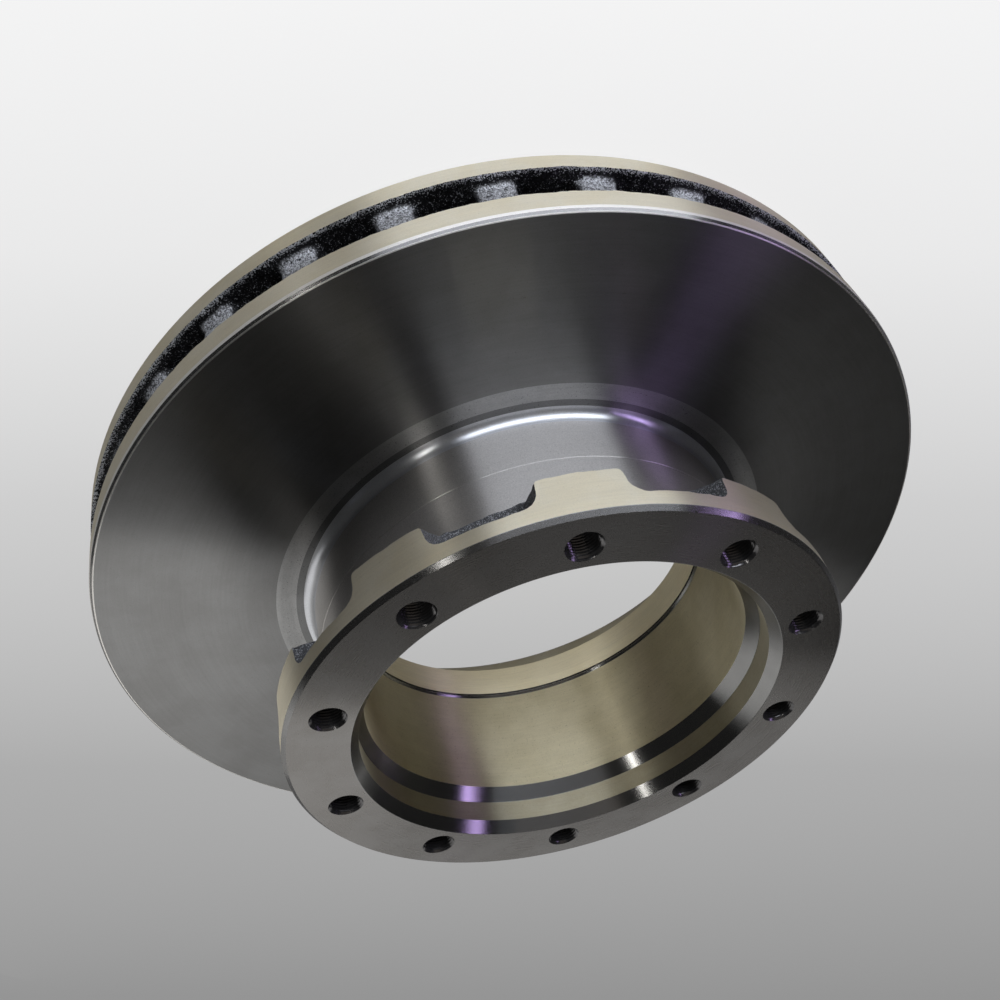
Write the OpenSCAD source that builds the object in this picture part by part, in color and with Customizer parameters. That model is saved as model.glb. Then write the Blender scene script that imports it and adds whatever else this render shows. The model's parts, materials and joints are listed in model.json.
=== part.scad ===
// Ventilated brake disc for a heavy trailer axle: one iron casting, turned all over
// except inside the vents, between the plates and behind the bolting flange.
// It stands on its rear friction face. The origin is the centre of that face, +Z runs
// up the axle to the face that bolts to the hub, and the first bolt hole is on +X.

/* [Friction ring] */
// Outer diameter of both friction plates
disc_d = 430; // [420:1:440]
// Thickness of the whole ring, from one friction face to the other
disc_t = 45; // [42:0.5:50]
// Thickness of the front plate, the one that the neck grows from
front_plate_t = 14; // [12:0.5:16]
// Thickness of the rear plate
rear_plate_t = 10.6; // [9:0.1:13]
// Inner diameter of the rear plate, which only the vanes carry
rear_bore_d = 261; // [254:1:268]
// Bevel at the outer edge of the front face
front_bevel = 1.2; // [0.6:0.1:2]
// Height of the slight taper that leads into that bevel
lead_h = 1.5; // [0.5:0.1:3]
// How much the taper takes off the radius
lead_w = 0.4; // [0.2:0.1:1]
// Bevel at both edges of the rear face
rear_bevel = 0.6; // [0.3:0.1:1.5]

/* [Vanes] */
// Number of vanes between the plates
vane_n = 30; // [20:1:34]
// How far the outer ends of the vanes stand back from the rim
vane_setback = 6; // [3:0.5:12]
// How far the inner ends stand back from the bore of the rear plate
vane_inset = 3.5; // [2:0.5:8]
// Width of a vane at its inner end
vane_inner_w = 10; // [7:0.5:12]
// Width of a vane at its outer end
vane_outer_w = 18; // [12:0.5:22]
// Radius on the corners of the outer end
vane_corner = 4; // [2:0.5:5.5]
// Turn of the vanes against the bolt holes, in degrees
vane_clock = 1.8; // [-6:0.1:6]

/* [Neck] */
// Outside diameter of the neck
neck_d = 221; // [214:0.5:224]
// Width of the flat floor and fillet round the foot of the neck
relief_floor_w = 10.2; // [7:0.1:14]
// Width of the sloping band between that floor and the friction face
relief_slope_w = 6.7; // [3:0.1:10]
// Depth of the relief below the friction face
relief_depth = 1; // [0.5:0.1:2.5]
// Radius at the foot of the neck
neck_fillet = 5; // [3:0.5:6.5]
// Height above the friction face of the fine step between two turning passes
pass_h = 28.2; // [15:0.1:40]
// Size of that step
pass_step = 0.25; // [0.1:0.05:0.6]

/* [Flange] */
// Height of the whole disc, from the rear face to the flange face
total_h = 132; // [126:0.5:138]
// Diameter of the bolting flange
flange_d = 270; // [264:1:280]
// Bevel at the outer edge of the flange face
flange_bevel = 2; // [1:0.1:3]
// Thickness of a bolt land at the rim of the flange
land_t = 23.4; // [19:0.1:27]
// Thickness of a bolt land where it meets the neck
land_root_t = 35.5; // [31:0.1:40]
// Thickness of the flange in the scallops between the lands
web_t = 9.7; // [7:0.1:14]
// Width of a scallop, in degrees
scallop_w = 20.6; // [14:0.2:23]
// Radius where the floor of a scallop meets its ends
scallop_r = 7; // [4:0.5:9]
// Radius where the floor of a scallop meets the neck
scallop_root_r = 8; // [4:0.5:10]
// Stock that the casting has over the turned neck inside the scallops
cast_stock = 0.5; // [0.2:0.1:1.5]
// Turn of the cast scallops against the drilled holes, in degrees
scallop_clock = -1.2; // [-2:0.1:2]

/* [Bolt holes] */
// Number of tapped holes, with one land to each
hole_n = 10; // [6:1:10]
// Diameter of the bolt circle
bolt_circle_d = 233.5; // [230:0.5:240]
// Core diameter of the M16 x 1.5 thread
tap_d = 14.4; // [12:0.1:16]
// How much wider the countersink is than the core
countersink_w = 2.6; // [1:0.1:4]

/* [Bore] */
// Diameter of the pilot bore that centres the disc on its hub
pilot_d = 200; // [197:0.1:203]
// Length of the pilot bore
pilot_l = 10.6; // [6:0.1:16]
// How much the mouth bevel adds to the radius of the pilot bore
mouth_w = 4.5; // [2:0.1:7]
// Depth of the mouth bevel
mouth_h = 5.7; // [3:0.1:8]
// Diameter of the long bore through the neck
bore_d = 190.4; // [186:0.2:194]
// Height of the cone between the pilot bore and the long bore
cone_h = 6.7; // [4:0.1:10]
// How far the lip at the bottom stands inside the long bore
lip_w = 1.1; // [0.6:0.1:3]
// Height of the lip above the back of the front plate
lip_h = 17.3; // [12:0.1:22]
// Width of the tool groove above the lip
groove_w = 1.2; // [0.6:0.1:2.5]
// Depth of that groove behind the lip
groove_depth = 1.2; // [0.6:0.1:2.5]
// Bevel at the bottom edge of the lip
lip_bevel = 1; // [0.4:0.1:2]

/* [Hidden] */
$fn = 128;
eps = 0.5;
hair = 0.02;
disc_r = disc_d / 2;
rear_bore_r = rear_bore_d / 2;
vent_top = disc_t - front_plate_t;
neck_r = neck_d / 2;
relief_z = disc_t - relief_depth;
relief_r = neck_r + relief_floor_w;
face_in_r = relief_r + relief_slope_w;
pass_z = disc_t + pass_h;
flange_r = flange_d / 2;
web_z = total_h - web_t;
land_rim_z = total_h - land_t;
land_root_z = total_h - land_root_t;
cast_r = neck_r + cast_stock;
hole_pitch = 360 / hole_n;
pilot_r = pilot_d / 2;
bore_r = bore_d / 2;
lip_r = bore_r - lip_w;
lip_z = vent_top + lip_h;
mouth_z = total_h - mouth_h;
cone_z = mouth_z - pilot_l;
vane_in_r = rear_bore_r + vane_inset;
vane_out_r = disc_r - vane_setback;
vane_sink = min(rear_plate_t, front_plate_t) / 4;

function polar(r, a) = [r * cos(a), r * sin(a)];

// Rear plate, with its turned bore and bevelled edges
module rear_plate() {
    rotate_extrude()
        polygon([
            [rear_bore_r + rear_bevel, 0],
            [disc_r - rear_bevel, 0],
            [disc_r, rear_bevel],
            [disc_r, rear_plate_t],
            [rear_bore_r, rear_plate_t],
            [rear_bore_r, rear_bevel]
        ]);
}

// Front plate, solid to the axis until the bore is cut, with the relief round the neck
module front_plate() {
    rotate_extrude()
        polygon([
            [0, vent_top],
            [disc_r, vent_top],
            [disc_r, disc_t - front_bevel - lead_h],
            [disc_r - lead_w, disc_t - front_bevel],
            [disc_r - lead_w - front_bevel, disc_t],
            [face_in_r, disc_t],
            [relief_r, relief_z],
            [0, relief_z]
        ]);
}

// Plan of one vane along +X: a rounded inner nose that widens to two rounded corners.
// Its flanks run a hair inside the rounds, so that each flank crosses its arc.
module vane_plan() {
    nose_r = vane_inner_w / 2;
    nose_x = vane_in_r + nose_r;
    corner_x = vane_out_r - vane_corner;
    corner_y = vane_outer_w / 2 - vane_corner;
    reach = norm([corner_x - nose_x, corner_y]);
    tilt = atan2(corner_y, corner_x - nose_x) + acos((nose_r - vane_corner) / reach);
    nose_end = [nose_x, 0] + polar(nose_r - hair, tilt);
    corner_end = [corner_x, corner_y] + polar(vane_corner - hair, tilt);
    polygon([
        nose_end,
        corner_end,
        [corner_x, corner_y],
        [vane_out_r, corner_y],
        [vane_out_r, -corner_y],
        [corner_x, -corner_y],
        [corner_end[0], -corner_end[1]],
        [nose_end[0], -nose_end[1]]
    ]);
    translate([nose_x, 0])
        circle(r = nose_r);
    for (side = [-1, 1])
        translate([corner_x, side * corner_y])
            circle(r = vane_corner);
}

// All vanes, let into both plates
module vanes() {
    for (i = [0 : vane_n - 1])
        rotate(vane_clock + i * 360 / vane_n)
            translate([0, 0, rear_plate_t - vane_sink])
                linear_extrude(vent_top - rear_plate_t + 2 * vane_sink)
                    vane_plan();
}

// Neck with the fillet at its foot, the step between two passes and the flange web
module neck_and_web() {
    rotate_extrude() {
        polygon([
            [0, relief_z - eps],
            [neck_r, relief_z - eps],
            [neck_r, pass_z],
            [neck_r - pass_step, pass_z + pass_step],
            [neck_r - pass_step, land_root_z],
            [cast_r, land_root_z],
            [cast_r, web_z],
            [flange_r, web_z],
            [flange_r, total_h - flange_bevel],
            [flange_r - flange_bevel, total_h],
            [0, total_h]
        ]);
        inner_corner(neck_r, relief_z, neck_fillet, 1);
        inner_corner(cast_r, web_z, scallop_root_r, -1);
    }
}

// Section of the fillet in the corner at radius r and height z, above it or below it
module inner_corner(r, z, size, side) {
    difference() {
        translate([r - eps, side > 0 ? z - eps : z - size])
            square([size + eps, size + eps]);
        translate([r + size, z + side * size])
            circle(r = size);
    }
}

// Thick flange ring, cut away between the bolt lands
module lands() {
    difference() {
        rotate_extrude()
            polygon([
                [neck_r - pass_step - eps, land_root_z],
                [neck_r - pass_step, land_root_z],
                [flange_r, land_rim_z],
                [flange_r, web_z + eps],
                [neck_r - pass_step - eps, web_z + eps]
            ]);
        for (i = [0 : hole_n - 1])
            rotate(scallop_clock + (i + 0.5) * hole_pitch)
                scallop();
    }
}

// One scallop round +X, as two equal cuts, each along one of its radial ends
module scallop() {
    for (side = [0, 1])
        mirror([0, side, 0])
            rotate([90, 0, 90 + scallop_w / 2])
                linear_extrude(flange_r * 1.1)
                    scallop_end();
}

// Section of such a cut: the end wall stands at 0 and meets the floor in a round
module scallop_end() {
    reach = flange_r * sin(scallop_w / 2) + eps;
    low_z = land_root_z - eps;
    translate([-reach, low_z])
        square([reach, web_z - scallop_r - low_z]);
    translate([-reach, low_z])
        square([reach - scallop_r, web_z - low_z]);
    translate([-scallop_r, web_z - scallop_r])
        circle(r = scallop_r);
}

// Bore tool: lip, tool groove, long bore, cone, pilot bore and mouth bevel
module bore() {
    rotate_extrude()
        polygon([
            [0, vent_top - eps],
            [lip_r + lip_bevel + eps, vent_top - eps],
            [lip_r, vent_top + lip_bevel],
            [lip_r, lip_z],
            [lip_r + groove_depth, lip_z],
            [lip_r + groove_depth, lip_z + groove_w],
            [lip_r, lip_z + groove_w],
            [bore_r, lip_z + groove_w + lip_w],
            [bore_r, cone_z - cone_h],
            [pilot_r, cone_z],
            [pilot_r, mouth_z],
            [pilot_r + mouth_w, total_h],
            [pilot_r + mouth_w, total_h + eps],
            [0, total_h + eps]
        ]);
}

// Tapped holes through the lands, each with its countersink
module bolt_holes() {
    tap_r = tap_d / 2;
    sink_h = countersink_w / 2;
    for (i = [0 : hole_n - 1])
        rotate(i * hole_pitch)
            translate([bolt_circle_d / 2, 0, 0]) {
                translate([0, 0, land_root_z - eps])
                    cylinder(h = land_root_t + 2 * eps, r = tap_r);
                translate([0, 0, total_h - sink_h])
                    cylinder(h = sink_h, r1 = tap_r, r2 = tap_r + sink_h);
            }
}

module brake_disc() {
    color([0.42, 0.42, 0.41])
        difference() {
            union() {
                rear_plate();
                vanes();
                front_plate();
                neck_and_web();
                lands();
            }
            bore();
            bolt_holes();
        }
}

brake_disc();
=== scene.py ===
import json
import math

import bpy
import numpy as np
from mathutils import Matrix, Vector, noise
from mathutils.geometry import delaunay_2d_cdt

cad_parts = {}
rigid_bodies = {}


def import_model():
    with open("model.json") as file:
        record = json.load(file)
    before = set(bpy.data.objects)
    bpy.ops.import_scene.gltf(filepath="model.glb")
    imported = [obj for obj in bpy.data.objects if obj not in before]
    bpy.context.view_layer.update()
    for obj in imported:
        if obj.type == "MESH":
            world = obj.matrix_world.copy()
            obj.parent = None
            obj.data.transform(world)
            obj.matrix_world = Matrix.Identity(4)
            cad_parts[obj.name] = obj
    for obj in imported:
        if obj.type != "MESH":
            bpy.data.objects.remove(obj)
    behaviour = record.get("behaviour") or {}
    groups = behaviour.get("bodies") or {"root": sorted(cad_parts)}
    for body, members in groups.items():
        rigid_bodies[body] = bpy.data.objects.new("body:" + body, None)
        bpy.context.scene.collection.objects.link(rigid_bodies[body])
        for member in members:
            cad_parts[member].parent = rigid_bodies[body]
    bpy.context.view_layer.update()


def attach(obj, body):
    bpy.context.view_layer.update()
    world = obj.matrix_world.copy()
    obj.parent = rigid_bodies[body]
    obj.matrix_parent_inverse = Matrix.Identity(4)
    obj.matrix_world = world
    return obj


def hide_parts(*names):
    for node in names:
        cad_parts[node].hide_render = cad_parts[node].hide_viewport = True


for thing in list(bpy.data.objects):  # the start-up cube, lamp and camera
    bpy.data.objects.remove(thing)
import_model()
root = "root"
mm = 0.001
noise.seed_set(1)  # the cast skin then falls the same way on each run


# meshes are worked out in millimetres, as numpy arrays

def polar(r, angle, z):
    return np.stack([r * np.cos(angle), r * np.sin(angle), z + 0 * r], axis=-1)


def gridFaces(rows, cols, closeRows=False, closeCols=False):
    i, j = np.meshgrid(np.arange(rows - (not closeRows)), np.arange(cols - (not closeCols)), indexing="ij")
    i, j = i.ravel(), j.ravel()
    nextI, nextJ = (i + 1) % rows, (j + 1) % cols
    return np.stack([i * cols + j, i * cols + nextJ, nextI * cols + nextJ, nextI * cols + j], axis=1)


def weld(points, faces):
    keys = np.round(points, 4)
    _, first, back = np.unique(keys, axis=0, return_index=True, return_inverse=True)
    back = back.ravel()
    return points[first], [[int(back[v]) for v in f] for f in faces]


def roughen(points, recipe):  # pushes each point about, so that a sand-cast skin waves and stays whole
    out = points.copy()
    for size, depth, seed in recipe:
        shift = Vector((seed * 7.3, seed * 3.1, seed * 5.7))
        for k, point in enumerate(points):
            push = noise.noise_vector(Vector(point / size) + shift)
            out[k] += np.array(push) * depth
    return out


def meshObject(name, points, faces, materials=()):
    mesh = bpy.data.meshes.new(name)
    mesh.from_pydata((np.asarray(points) * mm).tolist(), [], [list(map(int, f)) for f in faces])
    mesh.update()
    for material in materials:
        mesh.materials.append(material)
    piece = bpy.data.objects.new(name, mesh)
    bpy.context.scene.collection.objects.link(piece)
    return piece


def cutAway(piece, tool):  # keeps the tool's own material on the surface that it cuts
    cut = piece.modifiers.new("cut", "BOOLEAN")
    cut.operation = "DIFFERENCE"
    cut.solver = "MANIFOLD"
    cut.material_mode = "TRANSFER"
    cut.object = tool
    bpy.context.view_layer.update()
    solid = piece.evaluated_get(bpy.context.evaluated_depsgraph_get())
    mesh = bpy.data.meshes.new_from_object(solid)
    piece.modifiers.clear()
    old = piece.data
    piece.data = mesh
    bpy.data.meshes.remove(old)
    bpy.data.objects.remove(tool)


# the turned section, with each corner broken or filleted as the tool leaves it

turned = dict(
    columns=360,
    discRadius=215, discHeight=45, frontBevel=1.2, leadHeight=1.5, leadWidth=0.4, rearBevel=0.6,
    rearBoreRadius=130.5, faceInnerRadius=127.4, reliefRadius=120.7, reliefDepth=1,
    neckRadius=110.5, neckFillet=5, passHeight=73.2, passStep=0.25, neckTop=96.5,
    flangeRadius=135, flangeTop=132, flangeBevel=2,
    mouthRadius=104.5, mouthHeight=5.7, pilotRadius=100, pilotLength=10.6, coneHeight=6.7,
    boreRadius=95.2, lipRadius=94.1, lipTop=48.3, grooveHeight=1.2, grooveDepth=1.2, lipBevel=0.4,
    ventTop=31, ventBottom=10.6, backStock=1,
    edgeBreak=0.3, fineBreak=0.15, faceRound=0.9, slopeRound=24, reliefRound=20, passRound=0.05,
    boreRound=0.6, grooveRound=0.1, lipRound=0.2,
)


def turnedSection(s):
    top, b, fine, tight = s["flangeTop"], s["edgeBreak"], s["fineBreak"], s["grooveRound"]
    mouthZ = top - s["mouthHeight"]
    coneZ = mouthZ - s["pilotLength"]
    grooveTop = s["lipTop"] + s["grooveHeight"]
    lipWidth = s["boreRadius"] - s["lipRadius"]
    bevelZ = s["discHeight"] - s["frontBevel"]
    faceOut = s["discRadius"] - s["leadWidth"] - s["frontBevel"]
    reliefZ = s["discHeight"] - s["reliefDepth"]
    backZ = s["ventTop"] - s["backStock"]
    # radius, height, corner radius, finish of the stretch that starts there, the corner's own finish
    return [
        (s["rearBoreRadius"] + s["rearBevel"], 0, fine, "rearFace"),
        (s["discRadius"] - s["rearBevel"], 0, fine, "edge"),
        (s["discRadius"], s["rearBevel"], fine, "rim"),
        (s["discRadius"], bevelZ - s["leadHeight"], 0, "lead"),
        (s["discRadius"] - s["leadWidth"], bevelZ, fine, "rimBevel"),
        (faceOut, s["discHeight"], s["faceRound"], "frontFace", "lead"),
        (s["faceInnerRadius"], s["discHeight"], s["slopeRound"], "slope"),
        (s["reliefRadius"], reliefZ, s["reliefRound"], "relief", "slope"),
        (s["neckRadius"], reliefZ, s["neckFillet"], "neck", "fillet"),
        (s["neckRadius"], s["passHeight"], s["passRound"], "neck"),
        (s["neckRadius"] - s["passStep"], s["passHeight"] + s["passStep"], s["passRound"], "neck"),
        (s["neckRadius"] - s["passStep"], s["neckTop"], 0, "neck"),
        (s["flangeRadius"], s["neckTop"], 0, "flangeRim"),
        (s["flangeRadius"], top - s["flangeBevel"], b, "edge"),
        (s["flangeRadius"] - s["flangeBevel"], top, b, "flangeFace"),
        (s["mouthRadius"], top, b, "cone"),
        (s["pilotRadius"], mouthZ, b, "pilot"),
        (s["pilotRadius"], coneZ, b, "cone"),
        (s["boreRadius"], coneZ - s["coneHeight"], s["boreRound"], "bore"),
        (s["boreRadius"], grooveTop + lipWidth, b, "cone"),
        (s["lipRadius"], grooveTop, tight, "groove"),
        (s["lipRadius"] + s["grooveDepth"], grooveTop, tight, "groove"),
        (s["lipRadius"] + s["grooveDepth"], s["lipTop"], tight, "groove"),
        (s["lipRadius"], s["lipTop"], fine, "lip"),
        (s["lipRadius"], s["ventTop"] + s["lipBevel"], s["lipRound"], "lip"),
        (s["lipRadius"] + s["lipBevel"] + s["backStock"], backZ, 0, "back"),
        (s["rearBoreRadius"], backZ, 0, "rearBore"),
        (s["rearBoreRadius"], s["rearBevel"], fine, "edge"),
    ]


def arcSteps(radius, sweep):  # wide rounds get fine steps, broken edges only a few
    if radius > 2:
        return max(3, int(round(sweep / math.radians(14))))
    return max(3 if radius > 0.8 else 2, int(round(sweep / math.radians(32))))


def roundedSection(corners):  # short stretches: start, end, normal at each end, finish
    count, arcs = len(corners), []
    spots = [np.array(c[:2], float) for c in corners]
    for k, (p, corner) in enumerate(zip(spots, corners)):
        before, after = spots[k - 1] - p, spots[(k + 1) % count] - p
        u, v = before / np.hypot(*before), after / np.hypot(*after)
        half = math.acos(max(-1, min(1, float(u @ v)))) / 2
        radius = corner[2]
        normalIn = np.array([-u[1], u[0]])
        normalOut = np.array([v[1], -v[0]])
        if radius == 0 or abs(half - math.pi / 2) < 0.01:
            arcs.append([(p, normalIn), (p, normalOut)])
            continue
        reach = radius / math.tan(half)
        centre = p + (u + v) / np.hypot(*(u + v)) * radius / math.sin(half)
        start, end = p + u * reach, p + v * reach
        steps = arcSteps(radius, math.pi - 2 * half)
        turn = math.atan2(*(start - centre)[::-1]), math.atan2(*(end - centre)[::-1])
        delta = (turn[1] - turn[0] + math.pi) % (2 * math.pi) - math.pi
        side = 1 if float((start - centre) @ normalIn) > 0 else -1
        ring = []
        for i in range(steps + 1):
            angle = turn[0] + delta * i / steps
            away = np.array([math.cos(angle), math.sin(angle)])
            ring.append((centre + away * radius, away * side))
        arcs.append(ring)
    stretches = []
    for k in range(count):
        ring, following = arcs[k], arcs[(k + 1) % count]
        for a, b in zip(ring, ring[1:]):
            if np.hypot(*(b[0] - a[0])) > 1e-6:
                stretches.append((a[0], b[0], a[1], b[1], corners[k][-1]))
        a, b = ring[-1], following[0]
        if np.hypot(*(b[0] - a[0])) > 1e-6:
            stretches.append((a[0], b[0], a[1], a[1], corners[k][3]))
    return stretches


def latheBody(stretches, columns):
    rings = np.array([s[0] for s in stretches])
    angle = np.arange(columns) * 2 * math.pi / columns
    points = polar(rings[:, :1] + 0 * angle, angle[None, :] + 0 * rings[:, :1], rings[:, 1:])
    return points.reshape(-1, 3), gridFaces(len(rings), columns, True, True)


# the space between the plates, with the thirty vanes left standing in it

vents = dict(
    vanes=30, clock=1.8, innerRadius=93, outerRadius=221,
    noseRadius=5, noseX=139, cornerRadius=4, cornerX=205, cornerY=5, roundPoints=6,
    flank=(0.06, 0.13, 0.22, 0.33, 0.46, 0.6, 0.74, 0.87),  # where the long side has points
    fillet=3.2, filletPoints=4, wallRows=4,
    cells=[(122, 5.5), (190, 3.4), (204, 2.2), (221, 1.5)],  # triangle size up to each radius
    outerSteps=15, innerSteps=5, footRoom=1.0,
    skin=[(9, 0.55, 1), (2.6, 0.42, 2)],  # size, depth and seed of the sand marks
)


def vaneOutline(v):  # points and outward normals of one vane along +X, seen from above
    nose, corner = v["noseRadius"], v["cornerRadius"]
    run = math.hypot(v["cornerX"] - v["noseX"], v["cornerY"])
    tilt = math.atan2(v["cornerY"], v["cornerX"] - v["noseX"]) + math.acos((nose - corner) / run)
    upper = []
    for a in np.linspace(0, tilt, v["roundPoints"]):
        away = np.array([math.cos(a), math.sin(a)])
        upper.append((np.array([v["cornerX"], v["cornerY"]]) + away * corner, away))
    start, away = upper[-1]
    end = np.array([v["noseX"], 0]) + away * nose
    for t in v["flank"]:
        upper.append((start + (end - start) * t, away))
    for a in np.linspace(tilt, math.pi, v["roundPoints"]):
        away = np.array([math.cos(a), math.sin(a)])
        upper.append((np.array([v["noseX"], 0]) + away * nose, away))
    lower = [(p * [1, -1], n * [1, -1]) for p, n in upper[-2::-1]]
    tip = v["cornerX"] + corner
    face = [(np.array([tip, y]), np.array([1.0, 0.0])) for y in (-v["cornerY"] / 3, v["cornerY"] / 3)]
    outline = upper + lower + face
    return np.array([p for p, n in outline]), np.array([n for p, n in outline])


def insideLoop(points, loop):
    x, y = points[:, 0][:, None], points[:, 1][:, None]
    x0, y0 = loop[:, 0][None, :], loop[:, 1][None, :]
    x1, y1 = np.roll(loop[:, 0], -1)[None, :], np.roll(loop[:, 1], -1)[None, :]
    crosses = (y0 > y) != (y1 > y)
    at = x0 + (y - y0) * (x1 - x0) / np.where(y1 == y0, 1, y1 - y0)
    return (crosses & (x < at)).sum(axis=1) % 2 == 1


def arcBetween(r, start, end, steps):  # leaves out both ends, which belong to the straight edges
    return [(r * math.cos(a), r * math.sin(a)) for a in np.linspace(start, end, steps + 1)[1:-1]]


def platePlan(v, foot):  # triangles of one vane's share of a plate, round the foot of the vane
    half = math.pi / v["vanes"]
    radii = [v["innerRadius"]]
    while radii[-1] < v["outerRadius"] - 0.5:
        radii.append(radii[-1] + next(size for limit, size in v["cells"] if radii[-1] < limit))
    radii[-1] = v["outerRadius"]
    edge = [(r * math.cos(half), r * math.sin(half)) for r in radii]
    outerArc = arcBetween(radii[-1], half, -half, v["outerSteps"])
    innerArc = arcBetween(radii[0], -half, half, v["innerSteps"])
    border = edge + outerArc + [(x, -y) for x, y in edge[::-1]] + innerArc
    loop = [tuple(p) for p in foot]
    inner = []
    for n, r in enumerate(radii[1:-1]):
        gap = (radii[n + 2] - radii[n]) / 2
        count = max(2, int(round(2 * half * r / gap)))
        for i in range(count):
            a = -half + 2 * half * (i + (0.5 if n % 2 else 1)) / count
            if abs(a) < half - 0.4 * gap / r:
                inner.append((r * math.cos(a), r * math.sin(a)))
    inner = np.array(inner)
    room = np.hypot(*(inner[:, None, :] - foot[None, :, :]).transpose(2, 0, 1)).min(axis=1)
    keep = ~insideLoop(inner, foot) & (room > v["footRoom"])
    spots = border + loop + [tuple(p) for p in inner[keep]]
    nb, nl = len(border), len(loop)
    lines = [(i, (i + 1) % nb) for i in range(nb)]
    lines += [(nb + i, nb + (i + 1) % nl) for i in range(nl)]
    made = delaunay_2d_cdt([Vector(p) for p in spots], lines, [], 0, 1e-7)
    flat = np.array([spots[came[0]] for came in made[3]])
    triangles = np.array(made[2])
    corner = flat[triangles]
    middle = corner.mean(axis=1)
    area = np.cross(corner[:, 1] - corner[:, 0], corner[:, 2] - corner[:, 0])
    triangles = np.where((area > 0)[:, None], triangles, triangles[:, ::-1])
    good = ~insideLoop(middle, foot) & (np.hypot(*middle.T) > radii[0]) & (np.abs(area) > 1e-3)
    return flat, triangles[good]


def ventTool(v, section):
    low, high, fillet = section["ventBottom"], section["ventTop"], v["fillet"]
    outline, away = vaneOutline(v)
    foot = outline + away * fillet
    flat, triangles = platePlan(v, foot)
    curve = []
    for t in np.linspace(0, math.pi / 2, v["filletPoints"]):
        curve.append((fillet * (1 - math.sin(t)), fillet * (1 - math.cos(t))))
    wall = [(d, low + h) for d, h in curve]
    wall += [(0, z) for z in np.linspace(low + fillet, high - fillet, v["wallRows"] + 1)[1:-1]]
    wall += [(d, high - h) for d, h in curve[::-1]]
    points, faces = [], []

    def add(spots, some):
        base = sum(len(p) for p in points)
        points.append(spots)
        faces.extend((np.asarray(some) + base).tolist())

    half = math.pi / v["vanes"]
    outer = np.linspace(-half, half, v["outerSteps"] + 1)
    inner = np.linspace(half, -half, v["innerSteps"] + 1)
    for k in range(v["vanes"]):
        turn = math.radians(v["clock"]) + 2 * half * k
        c, s = math.cos(turn), math.sin(turn)
        spin = np.array([[c, s], [-s, c]])
        plan = flat @ spin
        add(np.c_[plan, np.full(len(plan), high)], triangles)
        add(np.c_[plan, np.full(len(plan), low)], triangles[:, ::-1])
        tube = [np.c_[(outline + away * d) @ spin, np.full(len(outline), z)] for d, z in wall]
        add(np.concatenate(tube), gridFaces(len(wall), len(outline), False, True)[:, ::-1])
        for r, angles in ((v["outerRadius"], outer), (v["innerRadius"], inner)):
            reach = np.full(len(angles), float(r))
            strip = [polar(reach, angles + turn, z) for z in (low, high)]
            add(np.concatenate(strip), gridFaces(2, len(angles)))
    points, faces = weld(np.concatenate(points), faces)
    return roughen(points, v["skin"]), faces


# the open space under the bolting flange: lands at the holes, scallops between them

scallops = dict(
    count=10, clock=-1.2, halfWidth=10.3,
    floorZ=122.3, landRootZ=96.5, landRimZ=108.6, rootRadius=110.25, rimRadius=135,
    castRadius=111, floorRound=8, neckRound=8, cornerRound=6, landRound=1.8, draft=0.4,
    lean=3.4,  # of the mould's core, at one end of each scallop
    rootDrop=2.5, rootOut=3, neckShare=0.85, lowZ=90,
    rings=[146, 139, 136.2, 134.6, 132.6, 130, 127.2, 124.4, 121.6],
    floorSteps=8, roundSteps=5, edgeSteps=3, landSteps=5, neckSteps=5, wallShares=(0.35, 0.7),
    dropShares=(0.2, 0.4, 0.6, 0.8, 1),
    skin=[(8, 0.5, 3), (2.4, 0.36, 4)],
)


def scallopColumns(s):  # (kind, share) from the middle of a scallop to the middle of a land
    quarter = math.pi / 2
    steps = [("floor", u) for u in np.linspace(0, 1, s["floorSteps"] + 1)[:-1]]
    steps += [("round", t) for t in np.linspace(quarter, 0, s["roundSteps"] + 1)]
    steps += [("wall", u) for u in s["wallShares"]]
    steps += [("edge", t) for t in np.linspace(quarter, 0, s["edgeSteps"] + 1)]
    steps += [("land", u) for u in np.linspace(0, 1, s["landSteps"] + 1)[1:]]
    return steps


def scallopCeiling(s, kind, share, side, r):  # angle from the scallop's middle, and height, by radius
    rise = (r - s["rootRadius"]) * (s["landRimZ"] - s["landRootZ"])
    landZ = s["landRootZ"] + rise / (s["rimRadius"] - s["rootRadius"])
    deep = s["floorZ"] - landZ
    tight = np.clip(s["cornerRound"] - (r - s["castRadius"]), 0, s["cornerRound"])
    narrow = s["cornerRound"] - np.sqrt(s["cornerRound"] ** 2 - tight ** 2)
    if side < 0:
        narrow = narrow + s["lean"] * (s["rimRadius"] - r) / (s["rimRadius"] - s["castRadius"])
    wall = math.radians(s["halfWidth"]) - narrow / r
    if kind == "floor":
        return (wall - (s["draft"] + s["floorRound"]) / r) * share, s["floorZ"] + 0 * r
    if kind == "round":
        inset = s["draft"] + s["floorRound"] * (1 - math.cos(share))
        return wall - inset / r, landZ + deep - s["floorRound"] * (1 - math.sin(share))
    if kind == "wall":
        high = s["landRound"] + (deep - s["floorRound"] - s["landRound"]) * (1 - share)
        return wall - s["draft"] * (1 - share) / r, landZ + high
    if kind == "edge":
        back = s["landRound"] * (1 - math.sin(share))
        return wall + back / r, landZ + s["landRound"] * (1 - math.cos(share))
    first = wall + s["landRound"] / r
    return first + (math.pi / s["count"] - first) * share, landZ


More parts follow.
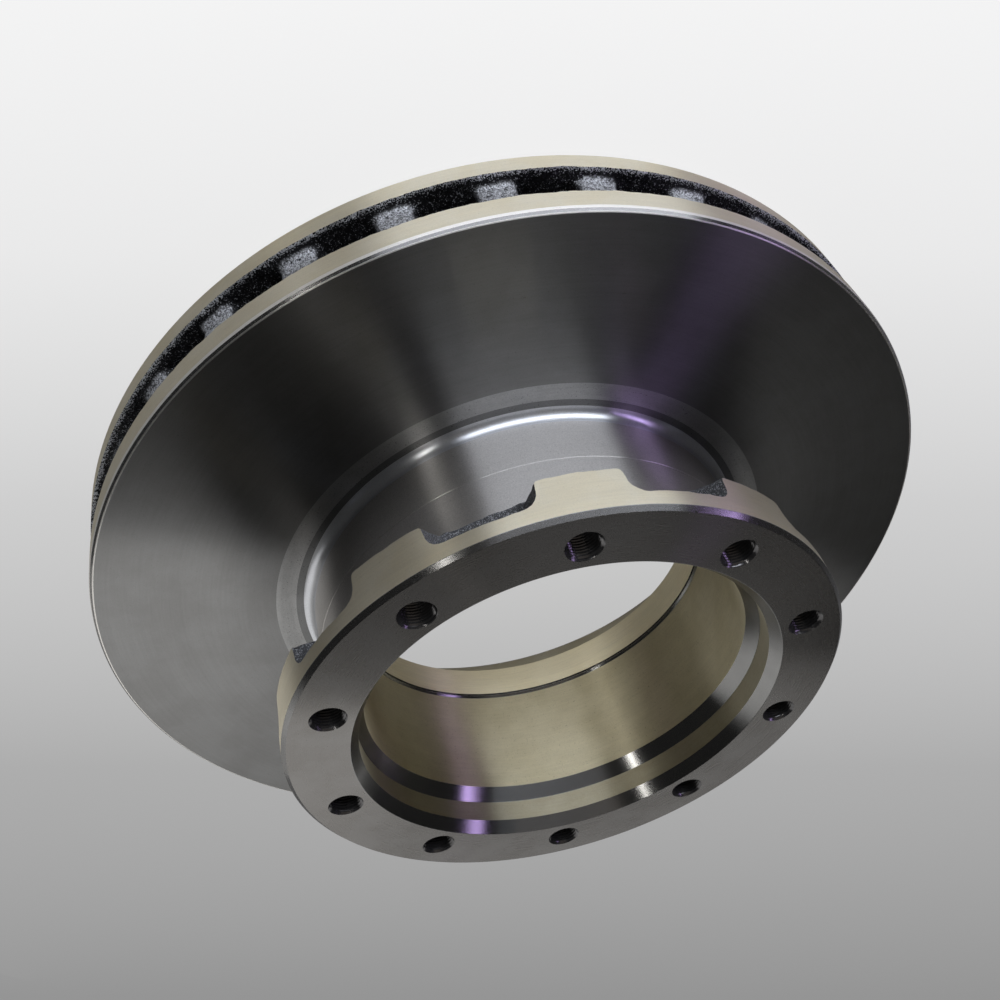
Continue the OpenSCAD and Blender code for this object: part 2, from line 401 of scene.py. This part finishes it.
def scallopTool(s):
    steps = scallopColumns(s)
    around = [(k, u, 1) for k, u in steps] + [(k, u, -1) for k, u in steps[-2:0:-1]]
    cast, bottom = s["castRadius"], s["landRootZ"] - s["rootDrop"]
    rows = []
    for kind, share, side in around:
        reach = np.array(s["rings"], float)
        angle, z = scallopCeiling(s, kind, share, side, reach)
        column = [(reach[0], angle[0], s["lowZ"])] + list(zip(reach, angle, z))
        rootZ = float(scallopCeiling(s, kind, share, side, np.array([float(cast + s["rootOut"])]))[1][0])
        size = min(s["neckRound"], s["neckShare"] * (rootZ - bottom))
        for t in np.linspace(0, math.pi / 2, s["neckSteps"] + 1):
            r = cast + size * (1 - math.sin(t))
            a, h = scallopCeiling(s, kind, share, side, np.array([r]))
            column.append((r, float(a[0]), float(h[0]) - size * (1 - math.cos(t))))
        r, a, top = column[-1]
        column += [(cast, a, top + (bottom - top) * u) for u in s["dropShares"]]
        column.append((cast, a, s["lowZ"]))
        rows.append([(r, a * side, z) for r, a, z in column])
    block = np.array(rows)  # column across, step, (radius, angle, height)
    rings = []
    for k in range(s["count"]):
        middle = math.radians(s["clock"]) + 2 * math.pi * (k + 0.5) / s["count"]
        part = block.copy()
        part[:, :, 1] += middle
        rings.append(part[np.argsort(part[:, 0, 1], kind="stable")])
    ring = np.concatenate(rings)
    points = polar(ring[:, :, 0], ring[:, :, 1], ring[:, :, 2])
    faces = gridFaces(*points.shape[:2], True, True)[:, ::-1]
    return roughen(points.reshape(-1, 3), s["skin"]), faces


# the ten tapped holes

threads = dict(
    count=10, circleRadius=116.75, minorRadius=7.2, majorRadius=8.0, pitch=1.5, mouthRadius=8.5,
    crestEnd=0.22, rootStart=0.61,  # along one pitch
    topZ=132, overRun=2, lowZ=96.2, columns=28,
)


def threadTool(t):
    n, pitch = t["columns"], t["pitch"]
    steps = [(0, t["minorRadius"]), (t["crestEnd"], t["minorRadius"]), (t["rootStart"], t["majorRadius"])]
    turns = int((t["topZ"] + t["overRun"] - t["lowZ"]) / pitch)
    levels = [(k + at, r) for k in range(turns) for at, r in steps]
    angle = np.arange(n) * 2 * math.pi / n
    z = t["lowZ"] + np.array([[(level + a / (2 * math.pi)) * pitch for a in angle] for level, r in levels])
    radius = np.array([[r] * n for level, r in levels])
    radius = np.maximum(radius, t["mouthRadius"] - (t["topZ"] - z))
    one = polar(radius, angle[None, :] + 0 * radius, z)
    rows, perTurn = len(levels), len(steps)
    faces = gridFaces(rows, n).tolist()
    for i in range(rows - 1 - perTurn):  # the last column meets the first one a turn higher
        faces.append([i * n + n - 1, (i + perTurn) * n, (i + 1 + perTurn) * n, (i + 1) * n + n - 1])
    low = list(range(n)) + [k * n for k in range(perTurn, 0, -1)]
    lastRow = rows - 1
    rim = [lastRow * n + j for j in range(n)]
    rim += [(lastRow - k) * n + n - 1 for k in range(1, perTurn + 1)]
    floorMiddle, roofMiddle = rows * n, rows * n + 1
    for a, b in zip(low, low[1:] + low[:1]):
        faces.append([a, floorMiddle, b])
    for a, b in zip(rim, rim[1:] + rim[:1]):
        faces.append([a, b, roofMiddle])
    ends = np.array([[0, 0, t["lowZ"] + 0.4 * pitch], [0, 0, z.max()]])
    flat = np.concatenate([one.reshape(-1, 3), ends])
    points, every = [], []
    for k in range(t["count"]):
        a = 2 * math.pi * k / t["count"]
        c, s = math.cos(a), math.sin(a)
        spin = np.array([[c, s, 0], [-s, c, 0], [0, 0, 1]])
        every += [[v + k * len(flat) for v in f] for f in faces]
        points.append((flat + [t["circleRadius"], 0, 0]) @ spin)
    return np.concatenate(points), every


# shader maths

class Wire:  # one output socket, so that node maths reads as plain Python
    def __init__(self, tree, socket=None):
        self.tree, self.socket = tree, socket

    def node(self, kind, settings=None, inputs=None, out=0):
        made = self.tree.nodes.new("ShaderNode" + kind)
        for key, value in (settings or {}).items():
            if key == "stops":
                self.setStops(made.color_ramp, value)
            else:
                setattr(made, key, value)
        for key, value in (inputs or {}).items():
            if isinstance(value, Wire):
                self.tree.links.new(value.socket, made.inputs[key])
            else:
                made.inputs[key].default_value = value
        return Wire(self.tree, made.outputs[out]) if len(made.outputs) else made

    def setStops(self, ramp, stops):
        while len(ramp.elements) < len(stops):
            ramp.elements.new(0.5)
        for element, (place, colour) in zip(ramp.elements, stops):
            element.position, element.color = place, (*colour, 1)

    def outputs(self, *names):  # other outputs of the same node
        return [Wire(self.tree, self.socket.node.outputs[name]) for name in names]

    def maths(self, operation, *values):
        return self.node("Math", {"operation": operation}, dict(enumerate(values)))

    def __add__(self, other):
        return self.maths("ADD", self, other)

    def __sub__(self, other):
        return self.maths("SUBTRACT", self, other)

    def __rsub__(self, other):
        return self.maths("SUBTRACT", other, self)

    def __mul__(self, other):
        return self.maths("MULTIPLY", self, other)

    def __truediv__(self, other):
        return self.maths("DIVIDE", self, other)

    __radd__, __rmul__ = __add__, __mul__

    def ramp(self, low, high):  # smooth change from 0 to 1 between two levels
        levels = {"Value": self, "From Min": low, "From Max": high}
        return self.node("MapRange", {"interpolation_type": "SMOOTHSTEP"}, levels)


def startMaterial(name):
    material = bpy.data.materials.new(name)
    material.use_nodes = True
    tree = material.node_tree
    tree.nodes.clear()
    return material, Wire(tree)


def surfacePlace(w):  # the place in millimetres, its three parts and the radius
    metres = w.node("TexCoord", out="Object")
    place = w.node("VectorMath", {"operation": "SCALE"}, {0: metres, "Scale": 1 / mm})
    x, y, z = w.node("SeparateXYZ", None, {0: place}).outputs("X", "Y", "Z")
    return place, x, y, z, w.maths("SQRT", x * x + y * y)


def grain(w, vector, size, detail=2, rough=0.5):  # noise of a given size in millimetres
    levels = {"Vector": vector, "Scale": 1 / size, "Detail": detail, "Roughness": rough}
    return w.node("TexNoise", None, levels)


def mixColours(w, factor, first, second):
    ends = [end if isinstance(end, Wire) else (*end, 1) for end in (first, second)]
    inputs = {"Factor": factor, 6: ends[0], 7: ends[1]}  # the Mix node's colour sockets
    return w.node("Mix", {"data_type": "RGBA"}, inputs, out=2)


def finishMaterial(w, height, shaderInputs):  # relief in millimetres, None for a smooth surface
    if height is not None:
        bump = w.node("Bump", None, {"Strength": 1, "Distance": mm, "Height": height})
        shaderInputs["Normal"] = bump
    shader = w.node("BsdfPrincipled", None, shaderInputs)
    w.node("OutputMaterial", None, {"Surface": shader})


# iron as it comes off the lathe: one recipe for each surface, some with painted shade or reflection in
# their tint

finishes = dict(
    frictionIron=dict(
        colour=(0.27, 0.268, 0.263), shade=(0.235, 0.231, 0.224), roughness=0.285, anisotropy=1,
        markPitch=1.3, markDepth=0.0012, streak=0.08, cloudy=0.6, pores=0.2, speckle=0.25, mottle=26,
        innerRough=0.055, innerEdge=(165, 132)),  # the band by the neck, outside the pads' path
    # the relief's own pitted turning, with a darker tint as painted shade for the recess by the neck
    reliefIron=dict(
        colour=(0.23, 0.23, 0.228), shade=(0.19, 0.19, 0.188), roughness=0.33, anisotropy=1,
        markPitch=0.9, markDepth=0.002, streak=0.1, cloudy=0.4, pores=0.5, speckle=0.5, mottle=9),
    slopeIron=dict(
        colour=(0.46, 0.457, 0.45), shade=(0.39, 0.387, 0.38), roughness=0.38, anisotropy=1,
        markPitch=0.9, markDepth=0.002, streak=0.1, cloudy=0.5, pores=0.6, speckle=0.6, mottle=9),
    neckIron=dict(
        colour=(0.58, 0.56, 0.54), shade=(0.54, 0.52, 0.5), roughness=0.35, anisotropy=1,
        markPitch=0.7, markDepth=0.001, streak=0.06, cloudy=0.2, pores=0.25, speckle=0.7, mottle=9),
    filletIron=dict(
        colour=(0.68, 0.69, 0.71), shade=(0.62, 0.63, 0.66), roughness=0.28, anisotropy=0.9,
        markPitch=0.9, markDepth=0.001, streak=0.08, cloudy=0.3, pores=0.2, speckle=0.4, mottle=9),
    # machined rim, whose warm tint is partly the iron's own and partly a painted reflection of a warm
    # beige floor
    rimIron=dict(
        colour=(0.79, 0.735, 0.59), shade=(0.75, 0.675, 0.5), roughness=0.4, anisotropy=1,
        markPitch=1.0, markDepth=0.001, streak=0.08, cloudy=0.6, pores=0.1, speckle=0.2, mottle=20),
    leadIron=dict(
        colour=(0.98, 0.95, 0.9), shade=(0.94, 0.91, 0.86), roughness=0.42, anisotropy=0.95,
        markPitch=1.0, markDepth=0.001, streak=0.06, cloudy=0.4, pores=0.1, speckle=0.1, mottle=20),
    bevelIron=dict(
        colour=(0.29, 0.286, 0.28), shade=(0.25, 0.246, 0.24), roughness=0.26, anisotropy=0.95,
        markPitch=0.9, markDepth=0.001, streak=0.08, cloudy=0.5, pores=0.1, speckle=0.1, mottle=16),
    coneIron=dict(
        colour=(0.27, 0.267, 0.26), shade=(0.23, 0.227, 0.22), roughness=0.19, anisotropy=0.95,
        markPitch=0.9, markDepth=0.001, streak=0.08, cloudy=0.4, pores=0.1, speckle=0.1, mottle=16),
    boreIron=dict(
        colour=(0.62, 0.57, 0.42), shade=(0.55, 0.5, 0.35), roughness=0.44, anisotropy=1,
        markPitch=1.0, markDepth=0.0015, streak=0.1, cloudy=0.8, pores=0.3, speckle=0.3, mottle=24),
    pilotIron=dict(
        colour=(0.42, 0.39, 0.3), shade=(0.37, 0.34, 0.25), roughness=0.42, anisotropy=1,
        markPitch=1.0, markDepth=0.0015, streak=0.1, cloudy=0.8, pores=0.2, speckle=0.3, mottle=24),
    lipIron=dict(
        colour=(0.97, 0.9, 0.7), shade=(0.92, 0.84, 0.62), roughness=0.46, anisotropy=0.95,
        markPitch=0.9, markDepth=0.0015, streak=0.1, cloudy=0.6, pores=0.1, speckle=0.1, mottle=24),
    hubFaceIron=dict(
        colour=(0.25, 0.24, 0.228), shade=(0.22, 0.207, 0.193), roughness=0.27, anisotropy=1,
        markPitch=1.2, markDepth=0.0005, streak=0.03, cloudy=0.7, pores=0.2, speckle=0.2, mottle=22),
)
surfaces = dict(
    frontFace="frictionIron", rearFace="frictionIron", relief="reliefIron", slope="slopeIron",
    neck="neckIron", fillet="filletIron", rim="rimIron", flangeRim="rimIron", rearBore="rimIron",
    lead="leadIron", rimBevel="bevelIron", edge="bevelIron", cone="coneIron", groove="bevelIron",
    bore="boreIron", pilot="pilotIron", lip="lipIron", flangeFace="hubFaceIron", back="castVent",
)
lathe = dict(  # what all turned finishes share, in millimetres
    slant=1.37, arcFeed=0.7, arcReach=7, bandPitch=9,
    poreSize=0.75, poreEdge=(0.68, 0.74), poreDepth=0.008, poreRough=0.25, poreColour=(0.02, 0.019, 0.018),
    speckleSize=0.55,
)


def turnedIron(name, f):
    material, w = startMaterial(name)
    place, x, y, z, radius = surfacePlace(w)
    feed = radius + z * lathe["slant"]  # grows by the tool's feed on faces, cylinders and cones alike
    alongFeed = {"W": feed / f["markPitch"], "Scale": 1, "Detail": 3, "Roughness": 0.7}
    lines = w.node("TexNoise", {"noise_dimensions": "1D"}, alongFeed)
    broad = {"W": feed / lathe["bandPitch"], "Scale": 1, "Detail": 2}
    bands = w.node("TexNoise", {"noise_dimensions": "1D"}, broad)
    reach = lathe["arcReach"]
    aroundAxis = {0: feed * lathe["arcFeed"], 1: x / radius * reach, 2: y / radius * reach}
    arcs = grain(w, w.node("CombineXYZ", None, aroundAxis), 1, 3, 0.6)
    cloud = grain(w, place, f["mottle"], 4, 0.6)
    pits = grain(w, place, lathe["poreSize"], 1).ramp(*lathe["poreEdge"])
    speckle = grain(w, place, lathe["speckleSize"], 1)
    tint = mixColours(w, cloud.ramp(0.35, 0.65) * f["cloudy"], f["colour"], f["shade"])
    level = 1 + (arcs - 0.5) * (2 * f["streak"]) + (lines - 0.5) * f["streak"]
    level = level + (bands - 0.5) * (0.8 * f["streak"]) + (speckle - 0.5) * (0.7 * f["speckle"])
    toned = w.node("VectorMath", {"operation": "SCALE"}, {0: tint, "Scale": level})
    colour = mixColours(w, pits * f["pores"], toned, lathe["poreColour"])
    rough = f["roughness"] + ((arcs - 0.5) * 0.05 + (cloud - 0.5) * 0.05) * f["cloudy"]
    rough = rough + pits * (lathe["poreRough"] * f["pores"])
    if "innerRough" in f:
        rough = rough + radius.ramp(*f["innerEdge"]) * f["innerRough"]
    height = (lines - 0.5) * f["markDepth"] + (arcs - 0.5) * (1.5 * f["markDepth"])
    height = height - pits * (lathe["poreDepth"] * f["pores"])
    finishMaterial(w, height, {
        "Base Color": colour, "Metallic": 1, "Roughness": rough,
        "Anisotropic": f["anisotropy"], "Anisotropic Rotation": 0.25})
    return material


# sand-cast skin, black from the mould, with bright specks painted in as glints where its rough grains
# would catch the light

castings = dict(
    castVent=dict(
        colour=(0.007, 0.007, 0.008), glintSpecks=(0.34, 0.345, 0.36), share=0.5, roughness=0.4, depth=0.35,
        # painted highlight on the outward-facing vane ends: the radii where it starts, its darker and
        # lighter colours
        tips=(206, 208.6), tipDark=(0.16, 0.16, 0.165), tipBright=(0.8, 0.81, 0.84),
        tipTone=(31, 14),  # heights between which the painted highlight on a vane's end strengthens
        fringe=(211.5, 214.8), fringeGlints=(0.9, 0.91, 0.93)),  # painted glints on the plates' edges in the vents, where the light grazes them
    castFlange=dict(
        colour=(0.09, 0.092, 0.097), glintSpecks=(0.42, 0.43, 0.45), share=0.75, roughness=0.5, depth=0.3),
)


# noise sizes and levels at which the painted glints show
sand = dict(coarse=1.7, fine=0.62, fineShare=0.7, level=0.69, reach=0.2, fringeReach=0.14, edge=0.05)


def castSkin(name, c):
    material, w = startMaterial(name)
    place, x, y, z, radius = surfacePlace(w)
    coarse = grain(w, place, sand["coarse"], 2, 0.7)
    fine = grain(w, place, sand["fine"], 1)
    both = fine * sand["fineShare"] + coarse * (1 - sand["fineShare"])
    low = sand["level"] - sand["reach"] * c["share"]
    glintSpecks = c["glintSpecks"]
    rough = c["roughness"] + (coarse - 0.5) * 0.4
    if "tips" in c:
        outwards = w.node("CombineXYZ", None, {0: x / radius, 1: y / radius, 2: 0})
        sides = {0: w.node("NewGeometry", out="Normal"), 1: outwards}
        facing = w.node("VectorMath", {"operation": "DOT_PRODUCT"}, sides, out="Value")
        # painted glints near the rim, on cast faces that do not face outwards
        fringe = radius.ramp(*c["fringe"]) * (1 - facing.ramp(0.2, 0.5))
        low = low - fringe * sand["fringeReach"]
        glintSpecks = mixColours(w, fringe * 0.8, glintSpecks, c["fringeGlints"])
    # painted glints: bright specks wherever the noise rises over the level
    colour = mixColours(w, both.ramp(low, low + sand["edge"]), c["colour"], glintSpecks)
    if "tips" in c:  # vane ends facing outwards, given a painted highlight that grows towards the rear plate
        tipLight = facing.ramp(0.25, 0.85) * radius.ramp(*c["tips"]) * (0.45 + z.ramp(*c["tipTone"]) * 0.55)
        tips = mixColours(w, both.ramp(0.36, 0.64), c["tipDark"], c["tipBright"])
        colour = mixColours(w, tipLight * coarse.ramp(0.25, 0.5), colour, tips)
        rough = rough + tipLight * 0.15
    height = coarse * (2.4 * c["depth"]) + fine * c["depth"]
    finishMaterial(w, height, {"Base Color": colour, "Metallic": 0.5, "Roughness": rough})
    return material


tapped = dict(colour=(0.1, 0.097, 0.096), crest=(0.15, 0.146, 0.145), roughness=0.2, metal=0.85)


def tappedIron(name, t):  # oily threads, with cleaner patches
    material, w = startMaterial(name)
    place = surfacePlace(w)[0]
    colour = mixColours(w, grain(w, place, 4, 2).ramp(0.4, 0.7), t["colour"], t["crest"])
    finishMaterial(w, None, {"Base Color": colour, "Metallic": t["metal"], "Roughness": t["roughness"]})
    return material


iron = {name: turnedIron(name, f) for name, f in finishes.items()}
iron.update({name: castSkin(name, c) for name, c in castings.items()})
iron["tappedIron"] = tappedIron("tappedIron", tapped)
print("materials:", len(iron))


# the casting: the turned body, with the vents, scallops and threads cut out of it

stretches = roundedSection(turnedSection(turned))
print("section:", len(stretches), "stretches")
disc = meshObject("brakeDiscCasting", *latheBody(stretches, turned["columns"]), [iron["frictionIron"]])
cuts = dict(
    ventTool=(ventTool(vents, turned), "castVent"),
    scallopTool=(scallopTool(scallops), "castFlange"),
    threadTool=(threadTool(threads), "tappedIron"),
)
for name, (tool, skin) in cuts.items():
    cutAway(disc, meshObject(name, *tool, [iron[skin]]))
    print(name, "cut:", len(disc.data.polygons), "faces")


def readAll(items, field, width=1, kind=float):  # one field of all faces, points, edges or corners
    values = np.zeros(len(items) * width, kind)
    items.foreach_get(field, values)
    return values.reshape(-1, width) if width > 1 else values


def sharpEdges(mesh, slots, flatNormals, totals):  # between materials, and along the crests of the threads
    threadSlot = mesh.materials.find("tappedIron")
    sharp = np.zeros(len(mesh.edges), bool)
    faceOf = np.repeat(np.arange(len(mesh.polygons)), totals)
    first = np.full(len(mesh.edges), -1)
    for loop, edge in enumerate(readAll(mesh.loops, "edge_index", kind=int)):
        face, other = faceOf[loop], first[edge]
        if other < 0:
            first[edge] = face
        elif slots[face] != slots[other]:
            sharp[edge] = True
        elif slots[face] == threadSlot and flatNormals[face] @ flatNormals[other] < 0.8:
            sharp[edge] = True
    return sharp


def dressNormals(mesh, stretches):  # turned surfaces get their true normals, however the cuts split them
    slots = readAll(mesh.polygons, "material_index", kind=int)
    centres = readAll(mesh.polygons, "center", 3) / mm
    flatNormals = readAll(mesh.polygons, "normal", 3)
    starts = readAll(mesh.polygons, "loop_start", kind=int)
    totals = readAll(mesh.polygons, "loop_total", kind=int)
    a, b, normalA, normalB = [np.array([s[i] for s in stretches]) for i in range(4)]
    along = b - a
    length = np.hypot(*along.T)
    middle = normalA + normalB
    middle /= np.hypot(*middle.T)[:, None]

    turnedFaces = np.nonzero(slots == mesh.materials.find("frictionIron"))[0]
    centres, flat = centres[turnedFaces], flatNormals[turnedFaces]
    radial = np.hypot(centres[:, 0], centres[:, 1])
    plane = np.stack([radial, centres[:, 2]], axis=1)
    outwards = centres[:, :2] / radial[:, None]
    lean = np.stack([(flat[:, :2] * outwards).sum(axis=1), flat[:, 2]], axis=1)
    best, lowest = np.zeros(len(turnedFaces), int), np.full(len(turnedFaces), 1e9)
    for k in range(len(stretches)):  # the stretch that each face came from, by its place and slope
        t = np.clip(((plane - a[k]) @ along[k]) / length[k] ** 2, 0, 1)
        gap = np.hypot(*(plane - a[k] - t[:, None] * along[k]).T) + 6 * (1 - lean @ middle[k])
        better = gap < lowest
        best[better], lowest[better] = k, gap[better]

    owner = np.repeat(np.arange(len(turnedFaces)), totals[turnedFaces])
    runs = zip(starts[turnedFaces], totals[turnedFaces])
    loops = np.concatenate([np.arange(start, start + total) for start, total in runs])
    k = best[owner]
    corners = readAll(mesh.loops, "vertex_index", kind=int)[loops]
    p = readAll(mesh.vertices, "co", 3)[corners] / mm
    r = np.hypot(p[:, 0], p[:, 1])
    rise = (np.stack([r, p[:, 2]], axis=1) - a[k]) * along[k]
    t = np.clip(rise.sum(axis=1) / length[k] ** 2, 0, 1)[:, None]
    n = normalA[k] * (1 - t) + normalB[k] * t
    normals = np.zeros((len(mesh.loops), 3))
    normals[loops] = np.stack([n[:, 0] * p[:, 0] / r, n[:, 0] * p[:, 1] / r, n[:, 1]], axis=1)
    normals[loops] /= np.linalg.norm(normals[loops], axis=1)[:, None]
    mesh.polygons.foreach_set("use_smooth", np.ones(len(mesh.polygons), bool))
    mesh.edges.foreach_set("use_edge_sharp", sharpEdges(mesh, slots, flatNormals, totals))
    mesh.normals_split_custom_set(normals.tolist())
    return [stretches[i][4] for i in best], turnedFaces


zones, turnedFaces = dressNormals(disc.data, stretches)
for name in finishes:
    if name not in disc.data.materials:
        disc.data.materials.append(iron[name])
slotOf = {material.name: k for k, material in enumerate(disc.data.materials)}
for face, zone in zip(turnedFaces, zones):
    disc.data.polygons[face].material_index = slotOf[surfaces[zone]]
disc.data.calc_loop_triangles()
print("disc:", len(disc.data.loop_triangles), "triangles in", len(set(zones)), "turned zones")
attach(disc, root)
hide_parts("brake_disc")


# camera

view = dict(  # place in millimetres, then the picture's own two directions
    place=(226.63, -378.28, 404.14),
    right=(-0.926, -0.29485, 0.23577),
    down=(-0.05685, 0.7263, 0.68502),
    lens=38.8,
)


def placeCamera(v):
    right, down = Vector(v["right"]).normalized(), Vector(v["down"]).normalized()
    back = right.cross(-down).normalized()
    up = back.cross(right)
    data = bpy.data.cameras.new("productCamera")
    data.lens, data.sensor_width, data.clip_start, data.clip_end = v["lens"], 36, 0.01, 50
    camera = bpy.data.objects.new("productCamera", data)
    turn = Matrix((right, up, back)).transposed().to_4x4()
    camera.matrix_world = Matrix.Translation(Vector(v["place"]) * mm) @ turn
    bpy.context.scene.collection.objects.link(camera)
    bpy.context.scene.camera = camera


placeCamera(view)
bpy.context.scene.view_settings.view_transform = "Standard"


# the paper that it stands on

floor = dict(
    half=6000, fan=(1811, 127),  # the point that the lines of equal tone spread out from
    # tone by place on the floor, from pale to grey: painted light falloff
    tones=[(-700, 0.98), (-290, 0.96), (-170, 0.87), (-14, 0.665), (240, 0.445), (600, 0.325)],
    glow=0.91, glint=0.25,
)


def floorPaper(f):  # pale paper whose tone falls along +Y as a painted falloff of light, as seen by the eye and in metal
    material, w = startMaterial("floorPaper")
    place, x, y, z, radius = surfacePlace(w)
    fanX, fanY = f["fan"]
    along = (y - fanY) / w.maths("MAXIMUM", 1 - x / fanX, 0.3) + fanY
    first, last = f["tones"][0][0], f["tones"][-1][0]
    stops = [((t - first) / (last - first), (level,) * 3) for t, level in f["tones"]]
    tone = w.node("ValToRGB", {"stops": stops}, {0: (along - first) / (last - first)})
    rays = w.node("LightPath")
    camera, glossy, through = rays.outputs("Is Camera Ray", "Is Glossy Ray", "Is Transmission Ray")
    seen = camera * f["glow"] + (glossy + through) * f["glint"]
    paper = w.node("BsdfDiffuse", None, {"Color": tone})
    glow = w.node("Emission", None, {"Color": tone, "Strength": 1})
    w.node("OutputMaterial", None, {"Surface": w.node("MixShader", None, {0: seen, 1: paper, 2: glow})})
    return material


h = floor["half"]
corners = [(-h, -h, 0), (h, -h, 0), (h, h, 0), (-h, h, 0)]
paper = meshObject("studioFloor", corners, [(0, 1, 2, 3)], [floorPaper(floor)])


# light

lamps = dict(  # azimuth, elevation, distance, slide, width, height, level, colour
    whiteLamp=(-31.5, 43, 1.5, 0, 0.05, 0.5, 13.5, (1, 0.985, 0.95)),
    violetLamp=(-141.5, 36, 1.0, 0, 0.07, 0.4, 6.5, (0.66, 0.48, 1)),
    farPanel=(90, 28.8, 0.457, -0.25, 0.54, 0.27, 0.82, (1, 1, 1)),
    farPanelDim=(90, 28.8, 0.457, 0.33, 0.62, 0.27, 0.72, (1, 1, 1)),
    lowCard=(48, -2, 0.54, 0, 0.34, 0.1, 0.6, (1, 0.98, 0.94)),
    boreCard=(-90, -80, 0.06, 0, 0.12, 0.07, 1.4, (1, 0.98, 0.92)),
    nearWall=(-86, 15, 1.6, 0, 2.0, 0.8, 3.4, (0.92, 0.97, 1.07)),
    nearHigh=(-86, 62, 1.6, 0, 1.24, 0.5, 0.2, (1, 0.88, 0.76)),
    ceiling=(120, 72, 2.2, 0, 1.6, 1.2, 0.03, (1, 0.95, 0.9)),
)
aim = Vector((0, 0, 0.07))
worldGrey = 0.03


def placeLamp(name, azimuth, elevation, distance, slide, width, height, level, colour):
    a, e = math.radians(azimuth), math.radians(elevation)
    way = Vector((math.cos(a) * math.cos(e), math.sin(a) * math.cos(e), math.sin(e)))
    data = bpy.data.lights.new(name, "AREA")
    data.shape, data.size, data.size_y, data.color = "RECTANGLE", width, height, colour
    data.energy = level * math.pi * width * height  # so that level is the lamp's own brightness
    light = bpy.data.objects.new(name, data)
    facing = way.to_track_quat("Z", "Y")
    light.location = aim + way * distance + facing @ Vector((slide, 0, 0))
    light.rotation_euler = facing.to_euler()
    light.visible_camera = False
    bpy.context.scene.collection.objects.link(light)


for name, values in lamps.items():
    placeLamp(name, *values)
world = bpy.data.worlds.new("studio")
bpy.context.scene.world = world
world.use_nodes = True
world.node_tree.nodes["Background"].inputs[0].default_value = (worldGrey, worldGrey, worldGrey, 1)
print("lamps:", len(lamps))
